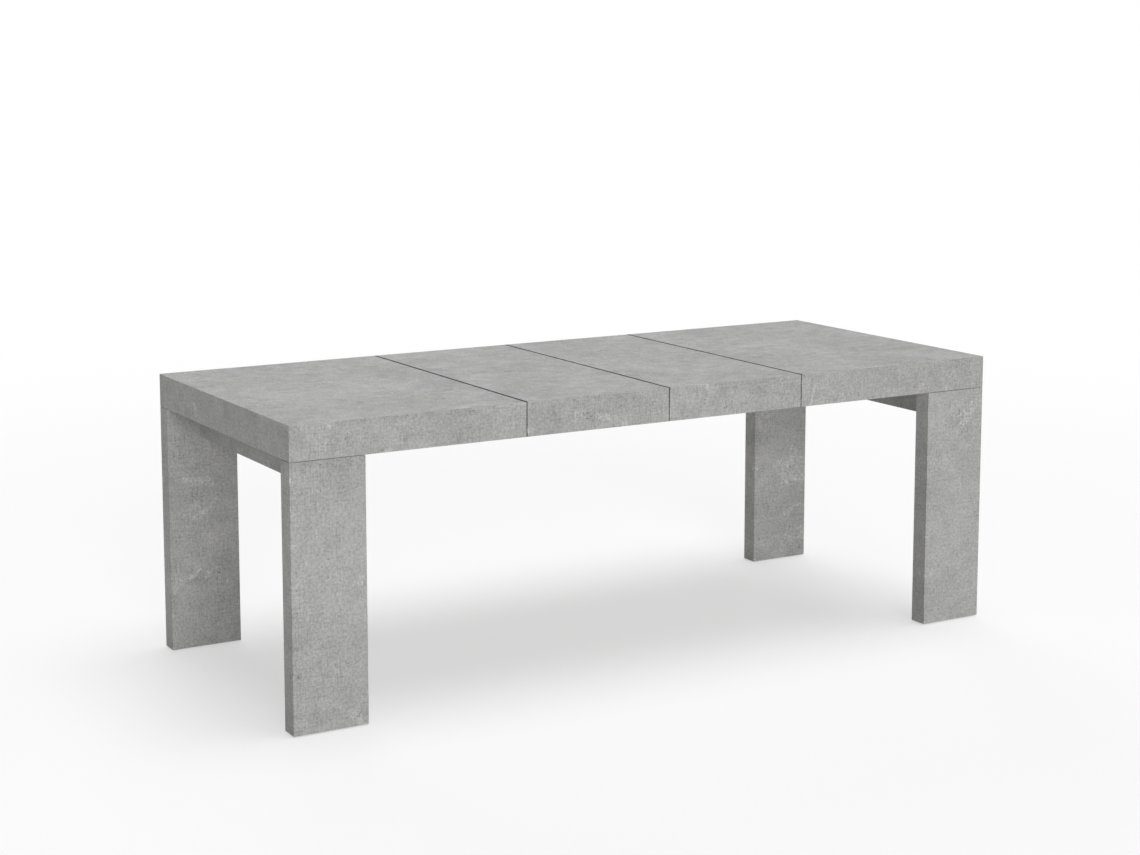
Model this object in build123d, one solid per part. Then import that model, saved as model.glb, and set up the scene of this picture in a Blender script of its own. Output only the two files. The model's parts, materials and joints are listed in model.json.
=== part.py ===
"""Extendable dining table, drawn open with both loose leaves in place.

Two identical end frames, each a mitred tray on two slab legs and a crossbar, run on two
three-part aluminium slides. A pinion between two racks keeps the middle part of each slide
halfway between the ends. The leaves drop in from above and sit on the slides.

Frame: origin on the floor under the middle of the table, +X along the length, +Z up.
The left end is at -X and the front is at -Y. All sizes are in millimetres.
"""
from build123d import *
import math
import os

# ---------------------------------------------------------------- driving dimensions
END_LENGTH = 650.0        # each end panel, along X
LEAF_LENGTH = 430.0       # each loose leaf, along X
WIDTH = 900.0
HEIGHT = 770.0
APRON = 90.0              # height of the edge that shows all round
BOARD = 18.0              # thickness of every laminated board
SEAM = 1.0                # open joint between neighbouring panels
EDGE_ROUND = 0.8          # radius on the laminated edges

LEG_WIDTH = 200.0         # along X
LEG_THICK = 54.0          # along Y, three boards glued together
LEG_JOINT = 1.0           # open joint between a leg's shoulder and the apron
GLIDE_HEIGHT = 3.0
GLIDE_RADIUS = 14.0

CROSSBAR_INSET = 93.0     # from the table's end to the crossbar's outer face
CROSSBAR_THICK = 25.0
CROSSBAR_DROP = 85.0      # how far it shows below the apron

PLATE = 3.0               # steel plate on the legs
THIN_PLATE = 2.5          # steel plate of the small fittings
PLATE_LENGTH = 40.0
OUTER_PLATE_INSET = 55.0  # from the table's end to the middle of the first leg plate
INNER_PLATE_INSET = 25.0  # from the leg's inner edge to the middle of the second

SLIDE_Y = 250.0           # half the distance between the two slides
MIDDLE_RAIL_LENGTH = 1040.0
RAIL_HEIGHT = 38.0
RAIL_WIDTH = 22.0
RAIL_WALL = 2.5
RAIL_GAP = 28.0           # between the two outer members of one slide
RAIL_FLANGE = 16.0
RAIL_FLANGE_THICK = 3.0
RAIL_SLOT = 14.0
RAIL_SETBACK = 4.0        # from the crossbar to the outer end of a fixed rail
RAIL_OVERRUN = 525.0      # how far a fixed rail stands out past its own panel
MIDDLE_RAISE = 8.0        # the middle rail's underside above the fixed rails'

OPEN_TRAVEL = 80.0        # the slides open this much further than the leaves need

GEAR_MODULE = 1.25
PINION_TEETH = 16
TOOTH_ADDENDUM = 1.0
TOOTH_DEDENDUM = 1.5
TOOTH_THINNING = 0.15     # taken off each flank for backlash
GEAR_FACE = 6.0
PRESSURE_ANGLE = math.radians(20)

TIE_GAP = 6.0             # between the fixed rails and the ties below them
TIE_THICK = 4.0
TIE_WIDTH = 60.0
TIE_SPREAD = 440.0
PINION_AXLE_RADIUS = 3.0

BOLT_RADIUS = 4.0         # M8
BOLT_HOLE_SLACK = 0.5
SCREW_RADIUS = 2.0
SCREW_HEAD_RADIUS = 4.0
SCREW_LENGTH = 14.0
CLEARANCE = 0.05          # radial room round a fixed pin or screw
OVERCUT = 1.0             # how far a cutting shape stands out past what it cuts

BATTEN_HEIGHT = 28.0

LATCH_SETBACK = 40.0      # from the seam to a latch's pivot
LATCH_INSET = 65.0        # from the table's long side to a latch's pivot
LATCH_REACH = 62.0        # pivot to striker pin
LATCH_TURN = 90.0         # degrees, from stored to hooked

# ---------------------------------------------------------------- derived places
HALF_LENGTH = END_LENGTH + LEAF_LENGTH
HALF_WIDTH = WIDTH / 2
APRON_LOW = HEIGHT - APRON
UNDERSIDE = HEIGHT - BOARD
SEAM_X = -LEAF_LENGTH                     # the seam between the left end and its leaf
LEG_INNER_Y = -HALF_WIDTH + LEG_THICK     # inner face of a front leg
LEG_INNER_X = -HALF_LENGTH + LEG_WIDTH
CROSSBAR_X = -HALF_LENGTH + CROSSBAR_INSET + CROSSBAR_THICK   # its inner face
RAIL_START = CROSSBAR_X + RAIL_SETBACK
RAIL_END = SEAM_X + RAIL_OVERRUN
RAIL_LOW = UNDERSIDE - RAIL_HEIGHT
PITCH_RADIUS = GEAR_MODULE * PINION_TEETH / 2
GEAR_LOW = RAIL_LOW
MIDDLE_LOW = RAIL_LOW + MIDDLE_RAISE
TIE_TOP = RAIL_LOW - TIE_GAP
PLATE_XS = (-HALF_LENGTH + OUTER_PLATE_INSET, LEG_INNER_X - INNER_PLATE_INSET)
BOLT_Z = (APRON_LOW + UNDERSIDE) / 2
LATCH_X = SEAM_X - LATCH_SETBACK
LATCH_Y = -HALF_WIDTH + LATCH_INSET


# ---------------------------------------------------------------- small helpers
def block(x0, x1, y0, y1, z0, z1):
    """A box between two corners."""
    size = Box(x1 - x0, y1 - y0, z1 - z0)
    return Pos((x0 + x1) / 2, (y0 + y1) / 2, (z0 + z1) / 2) * size


def rounded(solid, radius=EDGE_ROUND):
    """The solid with every edge rounded."""
    return fillet(solid.edges(), radius)


def upright(radius, z0, z1, x=0.0, y=0.0):
    """A cylinder standing along Z."""
    return Pos(x, y, (z0 + z1) / 2) * Cylinder(radius, z1 - z0)


def along_y(radius, y0, y1, x, z):
    """A cylinder lying along Y."""
    return Pos(x, (y0 + y1) / 2, z) * Rot(90, 0, 0) * Cylinder(radius, y1 - y0)


def prism_x(points, x0, x1):
    """A closed outline in (Y, Z) drawn out along X."""
    face = make_face(Polyline([Vector(x0, y, z) for y, z in points], close=True))
    return extrude(face, x1 - x0, dir=(1, 0, 0))


def prism_y(points, y0, y1):
    """A closed outline in (X, Z) drawn out along Y."""
    face = make_face(Polyline([Vector(x, y0, z) for x, z in points], close=True))
    return extrude(face, y1 - y0, dir=(0, 1, 0))


def prism_z(points, z0, z1):
    """A closed outline in (X, Y) drawn out along Z."""
    face = make_face(Polyline([Vector(x, y, z0) for x, y in points], close=True))
    return extrude(face, z1 - z0, dir=(0, 0, 1))


def to_rear(shape):
    """The same piece on the other long side."""
    return mirror(shape, about=Plane.XZ)


def both_sides(shapes):
    """Pieces of the front, with their copies at the rear."""
    return list(shapes) + [to_rear(s) for s in shapes]


def half_turn(shape):
    """The left end's piece as the right end has it."""
    return Rot(0, 0, 180) * shape


def group(shapes):
    """Separate solids as one node."""
    return Compound(children=[s for shape in shapes for s in shape.solids()])


# ---------------------------------------------------------------- fasteners
def screw_outline(extra):
    """Half the outline of a countersunk screw, tip up, head face at height 0."""
    head, shank = SCREW_HEAD_RADIUS + extra, SCREW_RADIUS + extra
    taper = head - shank
    top = SCREW_LENGTH + extra
    return [(0, 0), (head, 0), (shank, taper), (shank, top - shank), (0, top)]


def screw_body(extra=0.0):
    outline = Polyline([Vector(r, 0, z) for r, z in screw_outline(extra)], close=True)
    return revolve(make_face(outline), axis=Axis.Z)


RECESS_SIZE = (5.0, 1.0, 2.4)


def wood_screw():
    """A countersunk wood screw with a cross recess, pointing up."""
    bar = Box(*RECESS_SIZE)
    return screw_body() - bar - Rot(0, 0, 90) * bar


SCREW = wood_screw()
SCREW_HOLE = screw_body(CLEARANCE)
TURNS = {"+z": Rot(0, 0, 0), "-y": Rot(90, 0, 0), "-x": Rot(0, -90, 0)}


def place(shape, spots):
    """Copies of an upright shape at (x, y, z, direction its tip points)."""
    return [Pos(x, y, z) * TURNS[way] * shape for x, y, z, way in spots]


WASHER_RADIUS = 8.0
WASHER_THICK = 1.6
WASHER_SLACK = 0.2
BOLT_HEAD_HALF = 6.5      # half the width across flats
BOLT_HEAD_THICK = 5.3
BOLT_TIP_INSET = 7.0      # from the outside of the apron to the bolt's tip
INSERT_RADIUS = 6.0
INSERT_INSET = 5.0        # wood left in front of the insert
THREAD_SLACK = 0.1


def leg_bolt(x):
    """An M8 hexagon bolt and its washer, pointing at the front apron."""
    face = LEG_INNER_Y + PLATE
    seat = face + WASHER_THICK
    washer = along_y(WASHER_RADIUS, face, seat, x, BOLT_Z)
    washer -= along_y(BOLT_RADIUS + WASHER_SLACK, face, seat, x, BOLT_Z)
    head = extrude(RegularPolygon(BOLT_HEAD_HALF, 6, major_radius=False), BOLT_HEAD_THICK)
    head = Pos(x, seat + BOLT_HEAD_THICK, BOLT_Z) * Rot(90, 0, 0) * head
    shank = along_y(BOLT_RADIUS, -HALF_WIDTH + BOLT_TIP_INSET, seat, x, BOLT_Z)
    return [head + shank, washer]


def leg_insert(x):
    """The threaded steel insert in the apron that a leg bolt screws into."""
    y0, y1 = -HALF_WIDTH + INSERT_INSET, -HALF_WIDTH + BOARD
    sleeve = along_y(INSERT_RADIUS, y0, y1, x, BOLT_Z)
    return sleeve - along_y(BOLT_RADIUS + THREAD_SLACK, y0, y1, x, BOLT_Z)


def leg_insert_hole(x):
    """The hole bored for an insert from behind the front apron."""
    y0, y1 = -HALF_WIDTH + INSERT_INSET, -HALF_WIDTH + BOARD + OVERCUT
    return along_y(INSERT_RADIUS + CLEARANCE, y0, y1, x, BOLT_Z)


# ---------------------------------------------------------------- panels
def front_apron(x0, x1):
    """The front edge board of a panel, mitred along its top."""
    section = [(-HALF_WIDTH, APRON_LOW), (-HALF_WIDTH + BOARD, APRON_LOW),
               (-HALF_WIDTH + BOARD, UNDERSIDE), (-HALF_WIDTH, HEIGHT)]
    return prism_x(section, x0, x1)


def envelope(x0, x1):
    """The rounded outside of a whole panel, which trims its boards."""
    return rounded(block(x0, x1, -HALF_WIDTH, HALF_WIDTH, APRON_LOW, HEIGHT))


def end_panel_boards():
    """Top, front, rear and end boards of the left end panel."""
    x0, x1 = -HALF_LENGTH, SEAM_X - SEAM / 2
    corner = prism_z([(x0, -HALF_WIDTH), (x0, -HALF_WIDTH + BOARD),
                      (x0 + BOARD, -HALF_WIDTH + BOARD)], APRON_LOW, HEIGHT)
    front = front_apron(x0, x1) - corner
    rear = to_rear(front)
    end = prism_y([(x0, APRON_LOW), (x0 + BOARD, APRON_LOW), (x0 + BOARD, UNDERSIDE),
                   (x0, HEIGHT)], -HALF_WIDTH, HALF_WIDTH) - front - rear
    top = block(x0, x1, -HALF_WIDTH, HALF_WIDTH, UNDERSIDE, HEIGHT) - front - rear - end
    outside = envelope(x0, x1)
    return [outside & piece for piece in (top, front, rear, end)]


def leaf_boards():
    """Top, front and rear boards of the left leaf."""
    x0, x1 = SEAM_X + SEAM / 2, -SEAM / 2
    front = front_apron(x0, x1)
    rear = to_rear(front)
    top = block(x0, x1, -HALF_WIDTH, HALF_WIDTH, UNDERSIDE, HEIGHT) - front - rear
    outside = envelope(x0, x1)
    return [outside & piece for piece in (top, front, rear)]


# ---------------------------------------------------------------- end frame
TONGUE_OVERLAP = 20.0     # how far the leg's core reaches down into its slab


def front_leg():
    """A slab leg. Its outer layer stops under the apron and its core runs up behind it."""
    slab = rounded(block(-HALF_LENGTH, LEG_INNER_X, -HALF_WIDTH, LEG_INNER_Y,
                         GLIDE_HEIGHT, APRON_LOW - LEG_JOINT))
    tongue = block(-HALF_LENGTH + BOARD, LEG_INNER_X - EDGE_ROUND, -HALF_WIDTH + BOARD,
                   LEG_INNER_Y, APRON_LOW - LEG_JOINT - TONGUE_OVERLAP, UNDERSIDE)
    holes = [along_y(BOLT_RADIUS + BOLT_HOLE_SLACK, -HALF_WIDTH + BOARD - OVERCUT,
                     LEG_INNER_Y + OVERCUT, x, BOLT_Z) for x in PLATE_XS]
    return slab + tongue - holes


def crossbar():
    """The board between the two legs of an end."""
    return rounded(block(CROSSBAR_X - CROSSBAR_THICK, CROSSBAR_X, LEG_INNER_Y, -LEG_INNER_Y,
                         APRON_LOW - CROSSBAR_DROP, UNDERSIDE))


LEG_PLATE_DEPTH = 50.0
LEG_PLATE_DROP = 58.0
LEG_PLATE_SCREW_Y = 34.0  # from the leg's inner face
LEG_PLATE_SCREW_X = 10.0  # either side of the plate's middle


def leg_plate(x):
    """A steel angle that ties a leg's core to the top board."""
    x0, x1 = x - PLATE_LENGTH / 2, x + PLATE_LENGTH / 2
    back, depth = LEG_INNER_Y + PLATE, LEG_INNER_Y + LEG_PLATE_DEPTH
    angle = block(x0, x1, LEG_INNER_Y, back, UNDERSIDE - LEG_PLATE_DROP, UNDERSIDE)
    angle += block(x0, x1, LEG_INNER_Y, depth, UNDERSIDE - PLATE, UNDERSIDE)
    return angle - along_y(BOLT_RADIUS + BOLT_HOLE_SLACK, LEG_INNER_Y - OVERCUT,
                           back + OVERCUT, x, BOLT_Z)


def leg_plate_screws(x):
    """Two screws up into the top board."""
    y, z = LEG_INNER_Y + LEG_PLATE_SCREW_Y, UNDERSIDE - PLATE
    return [(x + side * LEG_PLATE_SCREW_X, y, z, "+z") for side in (-1, 1)]


ANGLE_ARM = 30.0          # the small steel angle beside the crossbar
ANGLE_SPAN = (10.0, 60.0)             # its ends, above the bottom of the apron
BAR_SCREWS = (20.0, 50.0)             # heights above the bottom of the apron
LEG_SCREWS = (27.0, 43.0)
BAR_SCREW_Y = 20.0        # from the leg
LEG_SCREW_X = 18.0        # from the crossbar


def crossbar_bracket():
    """A steel angle in the corner between the crossbar and the front leg's core."""
    x0, y0 = CROSSBAR_X, LEG_INNER_Y
    z0, z1 = [APRON_LOW + z for z in ANGLE_SPAN]
    return (block(x0, x0 + THIN_PLATE, y0, y0 + ANGLE_ARM, z0, z1)
            + block(x0, x0 + ANGLE_ARM, y0, y0 + THIN_PLATE, z0, z1))


def crossbar_bracket_screws():
    """Two screws into the crossbar and two into the leg, at different heights."""
    into_bar = [(CROSSBAR_X + THIN_PLATE, LEG_INNER_Y + BAR_SCREW_Y, APRON_LOW + z, "-x")
                for z in BAR_SCREWS]
    into_leg = [(CROSSBAR_X + LEG_SCREW_X, LEG_INNER_Y + THIN_PLATE, APRON_LOW + z, "-y")
                for z in LEG_SCREWS]
    return into_bar + into_leg


GLUE_BLOCK = 26.0
GLUE_BLOCK_LENGTH = 70.0
GLUE_BLOCK_XS = (-830.0, -720.0, -610.0)


def glue_block(x0):
    """A three-cornered block in the angle between a top board and its front apron."""
    y0 = -HALF_WIDTH + BOARD
    return prism_x([(y0, UNDERSIDE), (y0 + GLUE_BLOCK, UNDERSIDE), (y0, UNDERSIDE - GLUE_BLOCK)],
                   x0, x0 + GLUE_BLOCK_LENGTH)


BATTEN_WIDTH = 40.0
BATTEN_X = SEAM_X - 25.0
BATTEN_ROUND = 2.0
BATTEN_GAP = 4.0          # between a batten's end and the rail's flange


def inner_batten():
    """The batten that keeps the open edge of an end panel flat."""
    reach = SLIDE_Y - RAIL_GAP / 2 - RAIL_WIDTH - RAIL_FLANGE - BATTEN_GAP
    half = BATTEN_WIDTH / 2
    return rounded(block(BATTEN_X - half, BATTEN_X + half, -reach, reach,
                         UNDERSIDE - BATTEN_HEIGHT, UNDERSIDE), BATTEN_ROUND)


GLIDE_INSET = 32.0        # from the leg's edges to the middle of a glide
GLIDE_ROUND = 1.0
GLIDE_XS = (-HALF_LENGTH + GLIDE_INSET, LEG_INNER_X - GLIDE_INSET)
GLIDE_Y = -HALF_WIDTH + LEG_THICK / 2
NAIL_RADIUS = 1.5
NAIL_LENGTH = 14.0


def foot_glide(x):
    """A nylon glide with its nail, under a front leg."""
    disc = upright(GLIDE_RADIUS, 0, GLIDE_HEIGHT, x, GLIDE_Y)
    disc = fillet(disc.edges().sort_by(Axis.Z)[:1], GLIDE_ROUND)
    return disc + upright(NAIL_RADIUS, GLIDE_HEIGHT / 2, GLIDE_HEIGHT + NAIL_LENGTH, x, GLIDE_Y)


def nail_hole(x):
    """The hole in the leg for a glide's nail."""
    return upright(NAIL_RADIUS + CLEARANCE, 0, GLIDE_HEIGHT + NAIL_LENGTH + OVERCUT, x, GLIDE_Y)


# ---------------------------------------------------------------- slides
def fixed_rail(y):
    """The aluminium C-section that the left end screws to one slide. y is the slide's middle."""
    face = y - RAIL_GAP / 2                       # the side that faces the middle member
    back = face - RAIL_WIDTH
    x0, x1 = RAIL_START, RAIL_END
    middle = UNDERSIDE - RAIL_HEIGHT / 2
    outside = block(x0, x1, back, face, RAIL_LOW, UNDERSIDE)
    cavity = block(x0 - OVERCUT, x1 + OVERCUT, back + RAIL_WALL, face - RAIL_WALL,
                   RAIL_LOW + RAIL_WALL, UNDERSIDE - RAIL_WALL)
    slot = block(x0 - OVERCUT, x1 + OVERCUT, face - RAIL_WALL - OVERCUT, face + OVERCUT,
                 middle - RAIL_SLOT / 2, middle + RAIL_SLOT / 2)
    flange = block(x0, x1, back - RAIL_FLANGE, back + RAIL_WALL,
                   UNDERSIDE - RAIL_FLANGE_THICK, UNDERSIDE)
    return outside + flange - cavity - slot


RAIL_SCREWS = 5
RAIL_SCREW_INSET = 20.0


def fixed_rail_screws(y):
    """Screws up through the rail's flange, only where the rail lies under its own panel."""
    back = y - RAIL_GAP / 2 - RAIL_WIDTH
    first, last = RAIL_START + RAIL_SCREW_INSET, SEAM_X - RAIL_SCREW_INSET
    step = (last - first) / (RAIL_SCREWS - 1)
    return [(first + i * step, back - RAIL_FLANGE / 2, UNDERSIDE - RAIL_FLANGE_THICK, "+z")
            for i in range(RAIL_SCREWS)]


HEAD_THICK = 5.0          # the middle rail's head, which runs inside a fixed rail
HEAD_HEIGHT = 26.0
NECK_HEIGHT = 10.0
BODY_WIDTH = 12.0
BODY_GAP = 2.0            # between the middle rail's body and the boards above it
BODY_FLOOR = 12.0         # the thick floor of that body, which holds axles and screws
BODY_SIDE = 2.5
CAP_DEPTH = 3.0
CAP_LIP = 2.0
CAP_ROUND = 1.0
BUSH_DEPTH = 12.0
SLIDE_SLACK = 0.3         # room round everything that slides
STOP_GAP = 1.0            # left at the stops when the table is fully open
PIN_DEPTH = 7.0           # how far axles and tie screws go up into the middle rail
PIN_SLACK = 1.0           # the room above their tips


def rail_plug(y, end, inward, depth):
    """A plastic plug with a lip, pushed into one end of a fixed rail."""
    face = y - RAIL_GAP / 2
    back = face - RAIL_WIDTH
    x0, x1 = sorted((end - inward * CAP_LIP / 2, end + inward * depth))
    core = block(x0, x1, back + RAIL_WALL, face - RAIL_WALL,
                 RAIL_LOW + RAIL_WALL, UNDERSIDE - RAIL_WALL)
    x0, x1 = sorted((end, end - inward * CAP_LIP))
    lip = block(x0, x1, back, face, RAIL_LOW, UNDERSIDE - SLIDE_SLACK)
    return core + fillet(lip.edges().filter_by(Axis.X), CAP_ROUND)


def rail_caps(y):
    """A closed cap for a fixed rail's outer end and an open bush for its inner end.

    The middle rail's head runs through the bush, which also stops the pad behind it.
    """
    centre = UNDERSIDE - RAIL_HEIGHT / 2
    head_y = y - (RAIL_GAP + RAIL_WIDTH) / 2
    x0, x1 = RAIL_END - BUSH_DEPTH - OVERCUT, RAIL_END + CAP_LIP + OVERCUT
    reach, tall = HEAD_THICK / 2 + SLIDE_SLACK, HEAD_HEIGHT / 2 + SLIDE_SLACK
    head = block(x0, x1, head_y - reach, head_y + reach, centre - tall, centre + tall)
    neck = block(x0, x1, head_y, y, centre - NECK_HEIGHT / 2 - SLIDE_SLACK,
                 centre + NECK_HEIGHT / 2 + SLIDE_SLACK)
    bush = rail_plug(y, RAIL_END, -1, BUSH_DEPTH) - head - neck
    return [rail_plug(y, RAIL_START, 1, CAP_DEPTH), bush]


def middle_rail(y):
    """The double-T section between the two fixed rails of a slide."""
    half = MIDDLE_RAIL_LENGTH / 2
    centre = UNDERSIDE - RAIL_HEIGHT / 2
    head_y = RAIL_GAP / 2 + RAIL_WIDTH / 2
    top = UNDERSIDE - BODY_GAP
    body = block(-half, half, y - BODY_WIDTH / 2, y + BODY_WIDTH / 2, MIDDLE_LOW, top)
    neck = block(-half, half, y - head_y, y + head_y,
                 centre - NECK_HEIGHT / 2, centre + NECK_HEIGHT / 2)
    heads = [block(-half, half, y + side * head_y - HEAD_THICK / 2,
                   y + side * head_y + HEAD_THICK / 2,
                   centre - HEAD_HEIGHT / 2, centre + HEAD_HEIGHT / 2) for side in (-1, 1)]
    inside = BODY_WIDTH / 2 - BODY_SIDE
    core = block(-half - OVERCUT, half + OVERCUT, y - inside, y + inside,
                 MIDDLE_LOW + BODY_FLOOR + PIN_SLACK, top - BODY_SIDE)
    low, high = MIDDLE_LOW - OVERCUT, MIDDLE_LOW + PIN_DEPTH + PIN_SLACK
    bore = upright(PINION_AXLE_RADIUS + CLEARANCE, low, high, 0, y)
    taps = [upright(TIE_SCREW_RADIUS + CLEARANCE, low, high, x, y) for x in spacer_xs()]
    return body + neck + heads - core - bore - taps


PAD_LENGTH = 60.0
PAD_INSET = 2.0           # from the middle rail's end to its pad


def slider_pad(x0, y, side):
    """A nylon pad wrapped round the middle rail's head, running inside a fixed rail."""
    face = y + side * RAIL_GAP / 2
    inner = face + side * (RAIL_WALL + SLIDE_SLACK)
    outer = face + side * (RAIL_WIDTH - RAIL_WALL - SLIDE_SLACK)
    centre = UNDERSIDE - RAIL_HEIGHT / 2
    head_y = y + side * (RAIL_GAP + RAIL_WIDTH) / 2
    x1 = x0 + PAD_LENGTH
    body = block(x0, x1, min(inner, outer), max(inner, outer),
                 RAIL_LOW + RAIL_WALL + SLIDE_SLACK, UNDERSIDE - RAIL_WALL - SLIDE_SLACK)
    head = block(x0 - OVERCUT, x1 + OVERCUT, head_y - HEAD_THICK / 2 - CLEARANCE,
                 head_y + HEAD_THICK / 2 + CLEARANCE,
                 centre - HEAD_HEIGHT / 2 - CLEARANCE, centre + HEAD_HEIGHT / 2 + CLEARANCE)
    neck = block(x0 - OVERCUT, x1 + OVERCUT, min(y, head_y), max(y, head_y),
                 centre - NECK_HEIGHT / 2 - CLEARANCE, centre + NECK_HEIGHT / 2 + CLEARANCE)
    return body - head - neck


def slider_pads(y):
    """Two pads for each fixed rail: one at the far end and one where the stop meets it."""
    half = MIDDLE_RAIL_LENGTH / 2
    stopped = RAIL_END - BUSH_DEPTH - STOP_GAP - OPEN_TRAVEL / 2 - PAD_LENGTH
    spots = [(-half + PAD_INSET, -1), (stopped, -1), (half - PAD_INSET - PAD_LENGTH, 1),
             (-stopped - PAD_LENGTH, 1)]
    return [slider_pad(x, y, side) for x, side in spots]


# ---------------------------------------------------------------- racks and pinions
TOOTH_PITCH = math.pi * GEAR_MODULE
RACK_TEETH = 129
RACK_LAST = 15            # teeth past the pinion on the short side
FLANK_STEPS = 5           # straight pieces that make up one tooth flank
PINION_INSET = 0.4        # the pinion is this much narrower than the racks on each side
HUB_RADIUS = 5.5
HUB_PLAY = 0.5


def rack(y):
    """The left end's rack on one slide: its teeth face +Y and a gap lies at the pinion."""
    face = y - RAIL_GAP / 2
    line = y - PITCH_RADIUS
    tip, root = line + TOOTH_ADDENDUM, line - TOOTH_DEDENDUM
    lean = math.tan(PRESSURE_ANGLE)
    quarter = TOOTH_PITCH / 4 - TOOTH_THINNING / 2
    half_tip = quarter - TOOTH_ADDENDUM * lean
    half_root = quarter + TOOTH_DEDENDUM * lean
    first = (RACK_LAST - RACK_TEETH + 0.5) * TOOTH_PITCH
    outline = []
    for i in range(RACK_TEETH):
        x = first + i * TOOTH_PITCH
        outline += [(x - half_root, root), (x - half_tip, tip), (x + half_tip, tip),
                    (x + half_root, root)]
    outline += [(outline[-1][0], face), (outline[0][0], face)]
    return prism_z(outline, GEAR_LOW, GEAR_LOW + GEAR_FACE)


def involute(base, radius):
    """Angle of an involute point at a radius."""
    roll = math.sqrt(max(0.0, (radius / base) ** 2 - 1))
    return roll - math.atan(roll)


def pinion(y):
    """The gear between a slide's two racks, with a tooth pointing at each of them."""
    base = PITCH_RADIUS * math.cos(PRESSURE_ANGLE)
    outer = PITCH_RADIUS + TOOTH_ADDENDUM
    root = PITCH_RADIUS - TOOTH_DEDENDUM
    half = (TOOTH_PITCH / 4 - TOOTH_THINNING / 2) / PITCH_RADIUS + involute(base, PITCH_RADIUS)
    radii = [base + (outer - base) * i / FLANK_STEPS for i in range(FLANK_STEPS + 1)]
    flank = [(root, half)] + [(r, half - involute(base, r)) for r in radii]
    outline = []
    for tooth in range(PINION_TEETH):
        middle = math.pi / 2 + tooth * 2 * math.pi / PINION_TEETH
        sides = [(r, middle - a) for r, a in flank] + [(r, middle + a) for r, a in flank[::-1]]
        outline += [(r * math.cos(a), y + r * math.sin(a)) for r, a in sides]
    gear = prism_z(outline, GEAR_LOW + PINION_INSET, GEAR_LOW + GEAR_FACE - PINION_INSET)
    hub = upright(HUB_RADIUS, TIE_TOP + HUB_PLAY, MIDDLE_LOW - HUB_PLAY, 0, y)
    return gear + hub - upright(PINION_AXLE_RADIUS + CLEARANCE, 0, HEIGHT, 0, y)


def pinion_axle(y):
    """The pin that carries a pinion between the centre tie and the middle rail."""
    return upright(PINION_AXLE_RADIUS, TIE_TOP - TIE_THICK, MIDDLE_LOW + PIN_DEPTH, 0, y)


# ---------------------------------------------------------------- ties between the slides
TIE_SCREW_RADIUS = 2.5
TIE_SCREW_HEAD_RADIUS = 4.5
TIE_SCREW_HEAD = 3.0
TIE_SCREW_ROUND = 1.4
SOCKET_HALF = 1.5         # half the width across flats
SOCKET_DEPTH = 1.8
TIE_XS = (-TIE_SPREAD, 0.0, TIE_SPREAD)
TIE_OVERHANG = 16.0       # a tie's end past the middle of the slide
TIE_CORNER = 8.0
SPACER_OFFSET = 22.0
SPACER_HALF = (6.0, 5.5)  # half its length and width


def spacer_xs():
    return [x + side * SPACER_OFFSET for x in TIE_XS for side in (-1, 1)]


def cross_ties():
    """Flat aluminium bars that hold the two middle rails parallel, one carrying the pinions."""
    ties = []
    for x in TIE_XS:
        bar = block(x - TIE_WIDTH / 2, x + TIE_WIDTH / 2, -SLIDE_Y - TIE_OVERHANG,
                    SLIDE_Y + TIE_OVERHANG, TIE_TOP - TIE_THICK, TIE_TOP)
        ties.append(fillet(bar.edges().filter_by(Axis.Z), TIE_CORNER))
    low, high = TIE_TOP - TIE_THICK - OVERCUT, TIE_TOP + OVERCUT
    for y in (-SLIDE_Y, SLIDE_Y):
        ties[1] -= upright(PINION_AXLE_RADIUS + CLEARANCE, low, high, 0, y)
        for i, x in enumerate(TIE_XS):
            for side in (-1, 1):
                ties[i] -= upright(TIE_SCREW_RADIUS + CLEARANCE, low, high,
                                   x + side * SPACER_OFFSET, y)
    return ties


def tie_spacers():
    """The blocks between the ties and the middle rails."""
    dx, dy = SPACER_HALF
    return [block(x - dx, x + dx, y - dy, y + dy, TIE_TOP, MIDDLE_LOW)
            - upright(TIE_SCREW_RADIUS + CLEARANCE, TIE_TOP - OVERCUT, MIDDLE_LOW + OVERCUT, x, y)
            for y in (-SLIDE_Y, SLIDE_Y) for x in spacer_xs()]


def tie_screws():
    """Pan-head machine screws up through tie and spacer into the middle rail."""
    screws = []
    seat = TIE_TOP - TIE_THICK
    low = seat - TIE_SCREW_HEAD
    socket = extrude(RegularPolygon(SOCKET_HALF, 6, major_radius=False), SOCKET_DEPTH + OVERCUT)
    for y in (-SLIDE_Y, SLIDE_Y):
        for x in spacer_xs():
            head = upright(TIE_SCREW_HEAD_RADIUS, low, seat, x, y)
            head = fillet(head.edges().sort_by(Axis.Z)[:1], TIE_SCREW_ROUND)
            shank = upright(TIE_SCREW_RADIUS, seat, MIDDLE_LOW + PIN_DEPTH, x, y)
            screws.append(head + shank - Pos(x, y, low - OVERCUT) * socket)
    return screws


# ---------------------------------------------------------------- leaf fittings
CLEAT_WIDTH = 40.0
CLEAT_INSET = 105.0       # from a seam to the middle of a cleat
CLEAT_XS = (SEAM_X + CLEAT_INSET, -CLEAT_INSET)
CLEAT_CHAMFER = 3.0
CLEAT_GAP = 3.0           # between the long cleats and the slides
OUTER_CLEAT_GAP = 6.0     # between the short cleats and the slides


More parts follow.
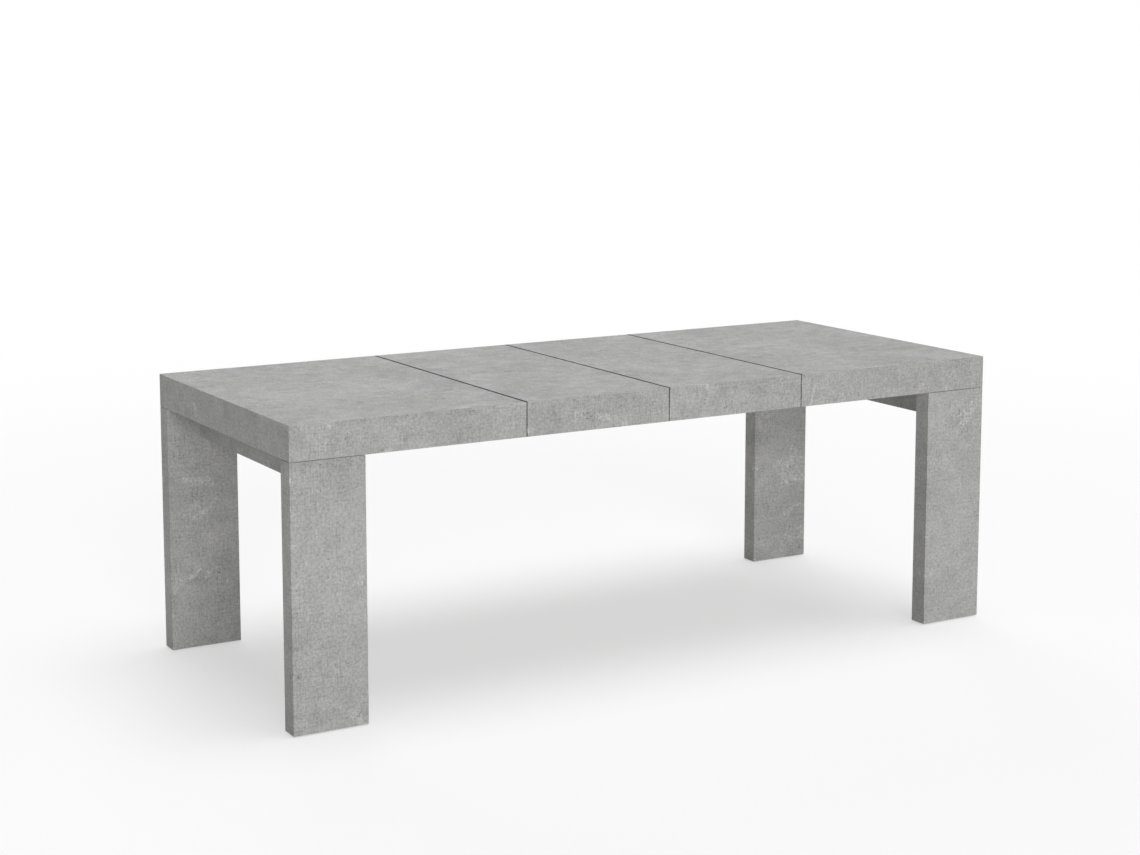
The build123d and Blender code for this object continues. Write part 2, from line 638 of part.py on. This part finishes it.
def leaf_cleats():
    """Beech cleats under the left leaf: one long piece between the slides and one outside each."""
    half_slide = RAIL_GAP / 2 + RAIL_WIDTH + RAIL_FLANGE
    long_reach = SLIDE_Y - half_slide - CLEAT_GAP
    short_start = SLIDE_Y + half_slide + OUTER_CLEAT_GAP
    cleats = []
    for x in CLEAT_XS:
        spans = ((-long_reach, long_reach), (short_start, HALF_WIDTH - BOARD),
                 (-HALF_WIDTH + BOARD, -short_start))
        for y0, y1 in spans:
            cleat = block(x - CLEAT_WIDTH / 2, x + CLEAT_WIDTH / 2, y0, y1,
                          UNDERSIDE - BATTEN_HEIGHT, UNDERSIDE)
            low_edges = cleat.edges().group_by(Axis.Z)[0].filter_by(Axis.Y)
            cleats.append(chamfer(low_edges, CLEAT_CHAMFER))
    return cleats


COUNTERBORE = 18.0        # depth of the holes that let short screws hold thick battens
COUNTERBORE_SLACK = 0.3


def batten_screws(x, ys):
    """Screws set deep in a batten."""
    return [(x, y, UNDERSIDE - BATTEN_HEIGHT + COUNTERBORE, "+z") for y in ys]


def counterbores(x, ys):
    """The deep holes that those screws sit in."""
    low = UNDERSIDE - BATTEN_HEIGHT
    return [upright(SCREW_HEAD_RADIUS + COUNTERBORE_SLACK, low - OVERCUT, low + COUNTERBORE, x, y)
            for y in ys]


BATTEN_YS = (-150.0, 0.0, 150.0)
SHORT_CLEAT_YS = (-370.0, 370.0)


# ---------------------------------------------------------------- latches
LATCH_THICK = 4.0
LATCH_GAP = 1.0           # between a hook and its plate
LATCH_TOP = UNDERSIDE - THIN_PLATE - LATCH_GAP
LATCH_LOW = LATCH_TOP - LATCH_THICK
LATCH_PIVOT_RADIUS = 4.0
LATCH_HEAD_RADIUS = 6.5
LATCH_HEAD_THICK = 2.5
LATCH_HEAD_GAP = 0.5
LATCH_HEAD_ROUND = 1.0
LATCH_PLATE_SHIFT = -4.0  # the plate's middle from the pivot
LATCH_PLATE_LENGTH = 58.0
FITTING_DEPTH = 30.0
FITTING_CORNER = 4.0
STRIKER_RADIUS = 3.0
STRIKER_OVERRUN = 2.0     # how far the striker pin stands out below the hook
STRIKER_PLATE_SHIFT = 8.0
STRIKER_PLATE_LENGTH = 44.0


def fitting_plate(x, y, length):
    """A screwed-on steel plate with rounded corners."""
    plate = block(x - length / 2, x + length / 2, y - FITTING_DEPTH / 2, y + FITTING_DEPTH / 2,
                  UNDERSIDE - THIN_PLATE, UNDERSIDE)
    return fillet(plate.edges().filter_by(Axis.Z), FITTING_CORNER)


def latch_base():
    """The plate and headed pivot that carry the front latch of the left end."""
    head_top = LATCH_LOW - LATCH_HEAD_GAP
    pivot = upright(LATCH_PIVOT_RADIUS, head_top - OVERCUT, UNDERSIDE - THIN_PLATE,
                    LATCH_X, LATCH_Y)
    head = upright(LATCH_HEAD_RADIUS, head_top - LATCH_HEAD_THICK, head_top, LATCH_X, LATCH_Y)
    head = fillet(head.edges().sort_by(Axis.Z)[:1], LATCH_HEAD_ROUND)
    plate = fitting_plate(LATCH_X + LATCH_PLATE_SHIFT, LATCH_Y, LATCH_PLATE_LENGTH)
    return plate + pivot + head


ARM_FRONT = 8.0           # the hook's arm, from its line of pull to its two edges
ARM_BACK = 7.0
ARM_PAST_PIN = 9.0
ARM_CORNER = 5.0
EYE_RADIUS = 10.0
NOTCH_SLACK = 1.0
TAB_SPAN = (24.0, 44.0)   # the finger tab, from the pivot along the arm
TAB_BACK = 15.0


def latch_hook():
    """The swinging hook, stored parallel to the seam and pointing inwards."""
    x, y = LATCH_X, LATCH_Y
    pin_x = x + LATCH_REACH
    low, high = LATCH_LOW - OVERCUT, LATCH_TOP + OVERCUT
    arm = block(x, pin_x + ARM_PAST_PIN, y - ARM_FRONT, y + ARM_BACK, LATCH_LOW, LATCH_TOP)
    arm = fillet(arm.edges().filter_by(Axis.Z), ARM_CORNER)
    eye = upright(EYE_RADIUS, LATCH_LOW, LATCH_TOP, x, y)
    tab = block(x + TAB_SPAN[0], x + TAB_SPAN[1], y, y + TAB_BACK, LATCH_LOW, LATCH_TOP)
    tab = fillet(tab.edges().filter_by(Axis.Z).sort_by(Axis.Y)[-2:], ARM_CORNER)
    half = STRIKER_RADIUS + NOTCH_SLACK
    notch = block(pin_x - half, pin_x + half, y - ARM_FRONT - OVERCUT, y, low, high)
    seat = upright(half, low, high, pin_x, y)
    bore = upright(LATCH_PIVOT_RADIUS + CLEARANCE, low, high, x, y)
    hooked = arm + eye + tab - notch - seat - bore
    return Pos(x, y, 0) * Rot(0, 0, LATCH_TURN) * Pos(-x, -y, 0) * hooked


def striker():
    """The plate and pin on the leaf that a latch hooks round."""
    x = LATCH_X + LATCH_REACH
    pin = upright(STRIKER_RADIUS, LATCH_LOW - STRIKER_OVERRUN, UNDERSIDE - THIN_PLATE, x, LATCH_Y)
    return fitting_plate(x + STRIKER_PLATE_SHIFT, LATCH_Y, STRIKER_PLATE_LENGTH) + pin


# Screws of the small fittings, as (x, y) from the pivot or the striker pin.
LATCH_SCREWS = ((-24.0, -8.0), (-24.0, 8.0), (18.0, 0.0))
STRIKER_SCREWS = ((16.0, 0.0), (25.0, -8.0), (25.0, 8.0))


def fitting_screws(x, offsets):
    """Screws up through a fitting's plate."""
    return [(x + dx, LATCH_Y + dy, UNDERSIDE - THIN_PLATE, "+z") for dx, dy in offsets]


# ---------------------------------------------------------------- assembly
def left_end():
    """Every node of the left end, by its name without the side."""
    slides = (-SLIDE_Y, SLIDE_Y)
    front_spots = [s for x in PLATE_XS for s in leg_plate_screws(x)]
    front_spots += crossbar_bracket_screws() + fitting_screws(LATCH_X, LATCH_SCREWS)
    plain_spots = [s for y in slides for s in fixed_rail_screws(y)]
    plain_spots += batten_screws(BATTEN_X, BATTEN_YS)

    screws = both_sides(place(SCREW, front_spots)) + place(SCREW, plain_spots)
    holes = both_sides(place(SCREW_HOLE, front_spots)) + place(SCREW_HOLE, plain_spots)
    insert_holes = [leg_insert_hole(x) for x in PLATE_XS]

    top, front, rear, end = end_panel_boards()
    leg = front_leg() - [nail_hole(x) for x in GLIDE_XS]
    brackets = [leg_plate(x) for x in PLATE_XS] + [crossbar_bracket()]
    batten = inner_batten() - counterbores(BATTEN_X, BATTEN_YS) - holes
    blocks = [glue_block(x) for x in GLUE_BLOCK_XS]
    bolts = [piece for x in PLATE_XS for piece in leg_bolt(x)]
    inserts = [leg_insert(x) for x in PLATE_XS]
    return {
        "top_board": top - holes,
        "front_apron": front - insert_holes,
        "rear_apron": rear - [to_rear(h) for h in insert_holes],
        "end_apron": end,
        "front_leg": leg - holes,
        "rear_leg": to_rear(leg) - holes,
        "crossbar": crossbar() - holes,
        "battens": group([batten] + both_sides(blocks)),
        "steel_brackets": group([b - holes for b in both_sides(brackets)]),
        "leg_bolts": group(both_sides(bolts)),
        "bolt_inserts": group(both_sides(inserts)),
        "wood_screws": group(screws),
        "front_rail": fixed_rail(-SLIDE_Y) - holes,
        "rear_rail": fixed_rail(SLIDE_Y) - holes,
        "rail_caps": group([cap for y in slides for cap in rail_caps(y)]),
        "racks": group([rack(y) for y in slides]),
        "foot_glides": group(both_sides([foot_glide(x) for x in GLIDE_XS])),
        "latch_bases": group([b - holes for b in both_sides([latch_base()])]),
        "front_latch": latch_hook(),
        "rear_latch": to_rear(latch_hook()),
    }


def left_leaf():
    """Every node of the left leaf, by its name without the side."""
    spots = [s for x in CLEAT_XS for s in batten_screws(x, BATTEN_YS + SHORT_CLEAT_YS)]
    front_spots = fitting_screws(LATCH_X + LATCH_REACH, STRIKER_SCREWS)
    screws = both_sides(place(SCREW, front_spots)) + place(SCREW, spots)
    holes = both_sides(place(SCREW_HOLE, front_spots)) + place(SCREW_HOLE, spots)
    bores = [b for x in CLEAT_XS for b in counterbores(x, BATTEN_YS + SHORT_CLEAT_YS)]
    top, front, rear = leaf_boards()
    return {
        "leaf_board": top - holes,
        "leaf_front_apron": front,
        "leaf_rear_apron": rear,
        "leaf_cleats": group([c - bores - holes for c in leaf_cleats()]),
        "leaf_strikers": group([s - holes for s in both_sides([striker()])]),
        "leaf_screws": group(screws),
    }


def centre():
    """The nodes that stay halfway between the two ends."""
    slides = (-SLIDE_Y, SLIDE_Y)
    return {
        "front_middle_rail": middle_rail(-SLIDE_Y),
        "rear_middle_rail": middle_rail(SLIDE_Y),
        "slider_pads": group([pad for y in slides for pad in slider_pads(y)]),
        "cross_ties": group(cross_ties() + tie_spacers()),
        "tie_screws": group(tie_screws()),
        "pinion_axles": group([pinion_axle(y) for y in slides]),
        "front_pinion": pinion(-SLIDE_Y),
        "rear_pinion": pinion(SLIDE_Y),
    }


def right_name(name):
    """A half turn swaps front and rear."""
    swaps = {"front": "rear", "rear": "front"}
    return "_".join(swaps.get(word, word) for word in name.split("_"))


def main():
    nodes = dict(centre())
    for name, shape in {**left_end(), **left_leaf()}.items():
        nodes["left_" + name] = shape
        nodes["right_" + right_name(name)] = half_turn(shape)
    os.makedirs("parts", exist_ok=True)
    for name, shape in nodes.items():
        export_step(shape, f"parts/{name}.step")
    print(len(nodes), "nodes written")


main()
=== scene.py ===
"""Looks for the extendable dining table: concrete-look laminate, aluminium slides, soft studio.

Everything is in metres, in the frame of the CAD model: origin on the floor under the middle of
the table, +X along its length, front at -Y, +Z up.
"""
import json
import math

import bpy
from mathutils import Euler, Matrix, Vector

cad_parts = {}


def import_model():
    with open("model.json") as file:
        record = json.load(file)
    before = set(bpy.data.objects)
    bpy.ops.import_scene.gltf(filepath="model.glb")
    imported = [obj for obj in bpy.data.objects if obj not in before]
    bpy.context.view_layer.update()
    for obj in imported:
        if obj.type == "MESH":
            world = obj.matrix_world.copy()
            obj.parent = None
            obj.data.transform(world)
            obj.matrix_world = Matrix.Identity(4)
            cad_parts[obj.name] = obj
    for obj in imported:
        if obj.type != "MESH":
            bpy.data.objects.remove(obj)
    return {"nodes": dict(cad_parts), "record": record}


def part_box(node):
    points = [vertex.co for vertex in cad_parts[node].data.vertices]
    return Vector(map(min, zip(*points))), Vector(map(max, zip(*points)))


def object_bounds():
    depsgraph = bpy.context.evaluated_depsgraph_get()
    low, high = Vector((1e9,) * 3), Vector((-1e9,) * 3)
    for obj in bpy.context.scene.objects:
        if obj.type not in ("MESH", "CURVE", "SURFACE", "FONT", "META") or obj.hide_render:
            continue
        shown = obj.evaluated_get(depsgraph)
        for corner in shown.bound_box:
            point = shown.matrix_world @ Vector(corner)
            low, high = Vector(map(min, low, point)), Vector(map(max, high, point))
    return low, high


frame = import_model()
cad_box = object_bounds()


# ---------------------------------------------------------------- node helpers
def grey(level):
    """An even grey."""
    return (level, level, level, 1.0)


class Nodes:
    """A node tree, with one short call for each kind of node."""

    def __init__(self, tree):
        self.tree = tree

    def feed(self, node, inputs):
        """Gives a node's inputs, by name or number, their values or the sockets they follow."""
        for key, value in inputs.items():
            if isinstance(value, bpy.types.NodeSocket):
                self.tree.links.new(value, node.inputs[key])
            else:
                node.inputs[key].default_value = value

    def node(self, kind, inputs=(), **settings):
        """A new node with its settings and inputs."""
        made = self.tree.nodes.new(kind)
        for key, value in settings.items():
            setattr(made, key, value)
        self.feed(made, dict(inputs))
        return made

    def math(self, operation, *values):
        made = self.node("ShaderNodeMath", enumerate(values), operation=operation)
        return made.outputs[0]

    def total(self, first, *rest):
        for value in rest:
            first = self.math("ADD", first, value)
        return first

    def times(self, first, *rest):
        for value in rest:
            first = self.math("MULTIPLY", first, value)
        return first

    def magnitude(self, value):
        """A number without its sign."""
        return self.math("ABSOLUTE", value)

    def over(self, value, limit):
        """1 where value is greater than limit, and 0 elsewhere."""
        return self.math("GREATER_THAN", value, limit)

    def vector(self, x, y, z=0.0):
        return self.node("ShaderNodeCombineXYZ", {"X": x, "Y": y, "Z": z}).outputs[0]

    def split(self, vector):
        return self.node("ShaderNodeSeparateXYZ", {"Vector": vector}).outputs

    def stretch(self, vector, x, y, z=1.0):
        made = self.node("ShaderNodeVectorMath", {0: vector, 1: (x, y, z)}, operation="MULTIPLY")
        return made.outputs[0]

    def noise(self, vector, scale, detail=2.0, roughness=0.5, distortion=0.0, flat=True):
        """Noise from 0 to 1 with its middle near 0.5."""
        made = self.node(
            "ShaderNodeTexNoise",
            {"Vector": vector, "Scale": scale, "Detail": detail, "Roughness": roughness,
             "Distortion": distortion},
            noise_dimensions="2D" if flat else "3D")
        return made.outputs[0]

    def swing(self, value, amount):
        """A 0 to 1 value as a swing of that amount either side of nothing."""
        return self.math("MULTIPLY_ADD", value, 2 * amount, -amount)

    def span(self, value, low, high, to_low=0.0, to_high=1.0):
        """A value's smooth step from to_low at low to to_high at high."""
        made = self.node(
            "ShaderNodeMapRange",
            {"Value": value, "From Min": low, "From Max": high, "To Min": to_low,
             "To Max": to_high},
            interpolation_type="SMOOTHSTEP")
        return made.outputs[0]

    def pick(self, factor, first, second):
        """A number between two, by factor."""
        made = self.node("ShaderNodeMix", {0: factor, 2: first, 3: second}, data_type="FLOAT")
        return made.outputs[0]

    def blend(self, factor, first, second, mode="MIX"):
        """A colour between two, by factor."""
        made = self.node("ShaderNodeMix", {0: factor, 6: first, 7: second},
                         data_type="RGBA", blend_type=mode)
        return made.outputs[2]

    def shade(self, colour, brightness):
        """A colour times a brightness."""
        level = self.vector(brightness, brightness, brightness)
        return self.blend(1.0, colour, level, "MULTIPLY")

    def camera_sees(self, seen, other):
        """One shader for what the camera sees directly, and another for all other light."""
        rays = self.node("ShaderNodeLightPath")
        mixed = self.node("ShaderNodeMixShader",
                          {0: rays.outputs["Is Camera Ray"], 1: other, 2: seen})
        return mixed.outputs[0]


class Shader(Nodes):
    """A new material."""

    def __init__(self, name):
        self.material = bpy.data.materials.new(name)
        self.material.use_nodes = True
        super().__init__(self.material.node_tree)
        self.surface = self.tree.nodes["Principled BSDF"]

    def place(self):
        """Object coordinates, and the object-space normal."""
        made = self.node("ShaderNodeTexCoord")
        return made.outputs["Object"], made.outputs["Normal"]

    def set(self, **inputs):
        """Sets the surface's own sockets, named with underscores for spaces."""
        self.feed(self.surface, {key.replace("_", " "): value for key, value in inputs.items()})

    def bump(self, height, distance):
        made = self.node("ShaderNodeBump", {"Height": height, "Distance": distance})
        self.set(Normal=made.outputs[0])


# ---------------------------------------------------------------- concrete-look laminate
LEVEL = 0.5               # a face lies flat where its normal's upright part is over this

# Half the width of the painted shade along a seam, from the seam's middle: half the open joint and
# one painted strip.
SEAM_SHADE_TOP = 0.0044         # on the top
SEAM_SHADE_SIDE = 0.0014        # on the aprons
SEAM_SHADE_DEPTH = 0.003        # how far the painted shade reaches down into the joint


def linen(s, flat):
    """Warp and weft threads, and how much both show, which differs from patch to patch."""
    warp = s.noise(s.stretch(flat, 270.0, 22.0), 1.0, 2.0, 0.6)
    weft = s.noise(s.stretch(flat, 16.0, 240.0), 1.0, 2.0, 0.6)
    patches = s.span(s.noise(flat, 7.0, 3.0, 0.6), 0.36, 0.62, 0.45, 1.45)
    cloth = s.times(s.total(s.swing(warp, 0.17), s.swing(weft, 0.14)), patches)
    return warp, weft, cloth


def worn_places(s, flat, lying):
    """Pale scuffs broken up by a crackle."""
    where = s.span(s.noise(flat, 9.0, 3.0, 0.6, 0.8), 0.60, 0.70)
    crumbs = s.span(s.noise(flat, 85.0, 5.0, 0.75, 1.2), 0.46, 0.60)
    return s.times(where, crumbs, s.pick(lying, 1.0, 0.6))


def hairlines(s, flat):
    """Dark curls where a noise crosses its middle, in a few places only."""
    curl = s.magnitude(s.math("SUBTRACT", s.noise(flat, 34.0, 2.0, 0.5, 1.8), 0.5))
    where = s.span(s.noise(flat, 9.0, 2.0, 0.5), 0.60, 0.68)
    return s.times(s.span(curl, 0.014, 0.003), where)


def pinholes(s, flat):
    """A few dark dots with a soft rim: one in about twenty cells has one."""
    cells = s.node("ShaderNodeTexVoronoi", {"Vector": flat, "Scale": 60.0},
                   voronoi_dimensions="2D")
    chosen = s.over(s.split(cells.outputs["Color"])[0], 0.955)
    return s.times(s.span(cells.outputs["Distance"], 0.17, 0.05), chosen)


def painted_seam_shade(s, place, facing):
    """Painted shade: a thin dark strip on each panel along a seam, standing in for the joint's
    shadow, so that a closed joint reads as a line.
    """
    leaf_end, panel_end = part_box("left_leaf_board")[0][0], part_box("left_top_board")[1][0]
    across, out, height = s.split(place)
    from_middle = s.magnitude(across)
    from_outer = s.magnitude(s.math("ADD", from_middle, (leaf_end + panel_end) / 2))
    width = s.pick(s.over(facing, LEVEL), SEAM_SHADE_SIDE, SEAM_SHADE_TOP)
    near = s.math("LESS_THAN", s.math("MINIMUM", from_middle, from_outer), width)
    shell = s.math("MAXIMUM", s.over(height, cad_box[1][2] - SEAM_SHADE_DEPTH),
                   s.over(s.magnitude(out), cad_box[1][1] - SEAM_SHADE_DEPTH))
    return s.times(near, shell)


def laminate():
    """Printed concrete: clouds, sandy grain, linen threads, pale worn places, hairlines, pits; and
    painted shade along the seams.
    """
    s = Shader("laminate")
    place, normal = s.place()
    facing = s.split(normal)[2]
    lying = s.over(s.magnitude(facing), LEVEL)
    moved = s.node("ShaderNodeMapping", {"Vector": place}, name="Board place").outputs[0]
    x, y, z = s.split(moved)
    along = s.pick(lying, s.math("ADD", x, y), x)
    up = s.pick(lying, z, y)
    flat = s.vector(along, up)

    clouds = s.noise(flat, 4.5, 4.0, 0.55, 0.6)
    mottle = s.noise(flat, 26.0, 5.0, 0.62, 0.4)
    grain = s.span(s.noise(flat, 150.0, 4.0, 0.75, 0.3), 0.32, 0.68)
    sand = s.noise(flat, 420.0, 2.0, 0.6)
    streaks = s.noise(s.stretch(flat, 14.0, 60.0), 1.0, 4.0, 0.65, 0.4)
    warp, weft, cloth = linen(s, flat)
    worn = worn_places(s, flat, lying)
    hairline = hairlines(s, flat)
    pit = pinholes(s, flat)

    tone = s.total(
        1.0,
        s.swing(clouds, 0.20),
        s.times(s.swing(mottle, 0.20), s.pick(lying, 1.0, 1.3)),
        s.swing(grain, 0.17),
        s.swing(sand, 0.19),
        cloth,
        s.times(s.swing(streaks, 0.22), lying),
        s.times(worn, 0.44),
        s.times(hairline, -0.50),
        s.times(pit, -0.36),
        # painted shade: darkens the panels along each seam in place of the joint's shadow
        s.times(painted_seam_shade(s, place, facing), -0.90),
    )
    warm = s.span(s.noise(flat, 11.0, 2.0, 0.5), 0.35, 0.65)
    neutral = s.blend(warm, grey(0.399), (0.403, 0.402, 0.392, 1.0))
    base = s.blend(lying, (0.403, 0.402, 0.391, 1.0), neutral)
    s.set(Base_Color=s.shade(base, tone),
          Roughness=s.total(0.56, s.swing(mottle, 0.06), s.times(worn, 0.08)),
          Specular_IOR_Level=0.32)
    relief = s.total(s.times(grain, 0.4), s.times(warp, 0.4), s.times(weft, 0.4),
                     s.times(mottle, 0.5), s.times(pit, -1.2), s.times(hairline, -0.8))
    s.bump(relief, 0.00012)
    return s.material


# Each board's print is moved by its own number of steps, in metres, within a reach along each axis.
PRINT_STEP = (0.37, 0.73, 0.51)
PRINT_REACH = (11, 13, 7)


def board_copy(base, name):
    """The laminate with its print moved, so that no two boards show the same patch."""
    copy = base.copy()
    copy.name = "laminate_" + name
    steps = sum(ord(letter) * (i + 3) for i, letter in enumerate(name))
    copy.node_tree.nodes["Board place"].inputs["Location"].default_value = [
        steps * step % reach for step, reach in zip(PRINT_STEP, PRINT_REACH)]
    return copy


# ---------------------------------------------------------------- metals
def aluminium():
    """Extruded and anodised: fine die lines along X and a slight cloudiness."""
    s = Shader("rail_aluminium")
    place, _ = s.place()
    lines = s.noise(s.stretch(place, 1.2, 900.0, 900.0), 1.0, 3.0, 0.6, flat=False)
    cloud = s.noise(place, 22.0, 3.0, 0.5, flat=False)
    s.set(Base_Color=s.shade((0.74, 0.75, 0.76, 1.0),
                             s.total(1.0, s.swing(lines, 0.07), s.swing(cloud, 0.05))),
          Metallic=1.0,
          Roughness=s.total(0.34, s.swing(lines, 0.08), s.swing(cloud, 0.06)))
    s.bump(lines, 0.00004)
    return s.material


def zinc():
    """Bright zinc plate: bluish with a faint straw tint, and small crystals."""
    s = Shader("zinc_steel")
    place, _ = s.place()
    tint = s.noise(place, 55.0, 2.0, 0.5, 0.4, flat=False)
    crystals = s.node("ShaderNodeTexVoronoi", {"Vector": place, "Scale": 420.0})
    grain = s.split(crystals.outputs["Color"])[0]
    scratches = s.noise(s.stretch(place, 90.0, 700.0, 500.0), 1.0, 2.0, 0.6, flat=False)
    s.set(Base_Color=s.shade(s.blend(tint, (0.70, 0.72, 0.76, 1.0), (0.74, 0.71, 0.62, 1.0)),
                             s.total(1.0, s.swing(grain, 0.06))),
          Metallic=1.0,
          Roughness=s.total(0.30, s.swing(grain, 0.06), s.swing(scratches, 0.07)))
    s.bump(s.total(scratches, s.times(grain, 0.4)), 0.00003)
    return s.material


# ---------------------------------------------------------------- wood and plastics
def beech():
    """Planed beech: pale pinkish wood with short dark flecks along the grain, which is along Y."""
    s = Shader("beech")
    place, _ = s.place()
    grain = s.noise(s.stretch(place, 14.0, 1.6, 14.0), 4.0, 5.0, 0.6, 0.5, flat=False)
    fibres = s.noise(s.stretch(place, 900.0, 24.0, 900.0), 1.0, 2.0, 0.5, flat=False)
    flecks = s.node("ShaderNodeTexVoronoi", {"Vector": s.stretch(place, 260.0, 36.0, 260.0),
                                             "Scale": 1.0})
    fleck = s.span(flecks.outputs["Distance"], 0.30, 0.12)
    wood = s.blend(grain, (0.47, 0.27, 0.14, 1.0), (0.66, 0.45, 0.27, 1.0))
    tone = s.total(1.0, s.swing(fibres, 0.09), s.times(fleck, -0.16))
    s.set(Base_Color=s.shade(wood, tone), Roughness=s.total(0.52, s.swing(grain, 0.08)),
          Specular_IOR_Level=0.3)
    s.bump(s.total(fibres, s.times(fleck, -0.5)), 0.00012)
    return s.material


def plastic(name, light, dark, roughness, soft):
    """Moulded plastic: fine spark-eroded grain over a slow change of tone."""
    s = Shader(name)
    place, _ = s.place()
    grain = s.noise(place, 1400.0, 2.0, 0.6, flat=False)
    flow = s.noise(place, 30.0, 3.0, 0.5, 0.5, flat=False)
    s.set(Base_Color=s.blend(flow, dark, light),
          Roughness=s.total(roughness, s.swing(grain, 0.07), s.swing(flow, 0.04)),
          Subsurface_Weight=soft, Subsurface_Scale=0.002)
    s.bump(grain, 0.00005)
    return s.material


def dress():
    """Gives every CAD node the finish of its slot."""
    printed = laminate()
    finishes = {
        "rail_aluminium": aluminium(),
        "zinc_steel": zinc(),
        "beech": beech(),
        "nylon": plastic("nylon", light=(0.80, 0.79, 0.74, 1.0), dark=(0.72, 0.70, 0.64, 1.0),
                         roughness=0.42, soft=0.15),
        "black_plastic": plastic("black_plastic", light=(0.030, 0.030, 0.032, 1.0),
                                 dark=(0.018, 0.018, 0.019, 1.0), roughness=0.46, soft=0.0),
    }
    slot_of = {part["node"]: part["material_slot"] for part in frame["record"]["subparts"]}
    for name, node in frame["nodes"].items():
        slot = slot_of[name]
        node.data.materials.clear()
        node.data.materials.append(
            board_copy(printed, name) if slot == "laminate" else finishes[slot])
    bpy.data.materials.remove(printed)


# ---------------------------------------------------------------- studio
FLOOR_RADIUS = 30.0
FLOOR_NEAR = 2.0          # how far from the middle the floor keeps its own shading
FLOOR_FAR = 6.0           # and is as white as the background from here on
FLOOR_GLOW = 0.5          # how far the shadows on it are filled in
FLOOR_BOUNCE = 0.64       # how much light it sends back up under the table
WHITE = grey(1.0)


def floor():
    """A pale floor that fades to the white of the background."""
    corners = 96
    turns = [2 * math.pi * i / corners for i in range(corners)]
    ring = [(FLOOR_RADIUS * math.cos(turn), FLOOR_RADIUS * math.sin(turn), 0.0) for turn in turns]
    mesh = bpy.data.meshes.new("floor")
    mesh.from_pydata(ring, [], [list(range(corners))])
    sheet = bpy.data.objects.new("floor", mesh)
    bpy.context.scene.collection.objects.link(sheet)

    s = Shader("floor")
    place, _ = s.place()
    distance = s.node("ShaderNodeVectorMath", {0: place}, operation="LENGTH").outputs["Value"]
    fade = s.span(distance, FLOOR_NEAR, FLOOR_FAR, FLOOR_GLOW, 1.0)
    paper = s.noise(place, 300.0, 3.0, 0.6, flat=False)
    s.set(Base_Color=s.shade(grey(0.92), s.total(1.0, s.swing(paper, 0.01))),
          Roughness=0.9, Specular_IOR_Level=0.1)
    glow = s.node("ShaderNodeEmission", {"Color": WHITE, "Strength": 1.0})
    seen = s.node("ShaderNodeMixShader",
                  {0: fade, 1: s.surface.outputs[0], 2: glow.outputs[0]})
    bounce = s.node("ShaderNodeBsdfDiffuse", {"Color": grey(FLOOR_BOUNCE)})
    s.feed(s.tree.nodes["Material Output"],
           {"Surface": s.camera_sees(seen.outputs[0], bounce.outputs[0])})
    mesh.materials.append(s.material)


def world(light, lean):
    """Soft light all round, stronger towards lean, and a white background."""
    made = bpy.data.worlds.new("studio")
    bpy.context.scene.world = made
    made.use_nodes = True
    s = Nodes(made.node_tree)
    where = s.node("ShaderNodeTexCoord").outputs["Generated"]
    side = s.node("ShaderNodeVectorMath", {0: where, 1: lean}, operation="DOT_PRODUCT")
    lit = s.tree.nodes["Background"]
    s.feed(lit, {"Color": WHITE, "Strength": s.total(side.outputs["Value"], light)})
    seen = s.node("ShaderNodeBackground", {"Color": WHITE})
    s.feed(s.tree.nodes["World Output"],
           {"Surface": s.camera_sees(seen.outputs[0], lit.outputs[0])})


def soft_light(name, towards, strength, softness, shine=True):
    """Even light from one side, with softness as its width in degrees. towards points at it."""
    data = bpy.data.lights.new(name, "SUN")
    data.energy = strength
    data.angle = math.radians(softness)
    lamp = bpy.data.objects.new(name, data)
    lamp.rotation_mode = "QUATERNION"
    lamp.rotation_quaternion = Vector(towards).to_track_quat("Z", "Y")
    lamp.visible_glossy = shine
    bpy.context.scene.collection.objects.link(lamp)


CAMERA_PLACE = (-3.0227, -5.0841, 1.7008)
CAMERA_YAW = 0.5306       # turned right from looking along +Y, in radians
CAMERA_PITCH = 0.1320     # and tipped down


def camera():
    """From the front left, above the table top."""
    data = bpy.data.cameras.new("camera")
    data.sensor_width = 36.0
    data.lens = 67.18
    data.shift_y = -0.10
    data.clip_end = 100.0
    made = bpy.data.objects.new("camera", data)
    made.location = CAMERA_PLACE
    made.rotation_euler = Euler((math.pi / 2 - CAMERA_PITCH, 0.0, -CAMERA_YAW))
    bpy.context.scene.collection.objects.link(made)
    bpy.context.scene.camera = made


dress()
floor()
world(light=0.29, lean=(0.14, -0.05, 0.0))
soft_light("key", towards=(0.17, -0.05, 0.98), strength=1.82, softness=45.0)
soft_light("fill", towards=(-0.28, -0.93, 0.18), strength=1.38, softness=30.0)
soft_light("back", towards=(0.20, 0.93, 0.30), strength=0.8, softness=40.0, shine=False)
camera()
bpy.context.scene.view_settings.view_transform = "Standard"
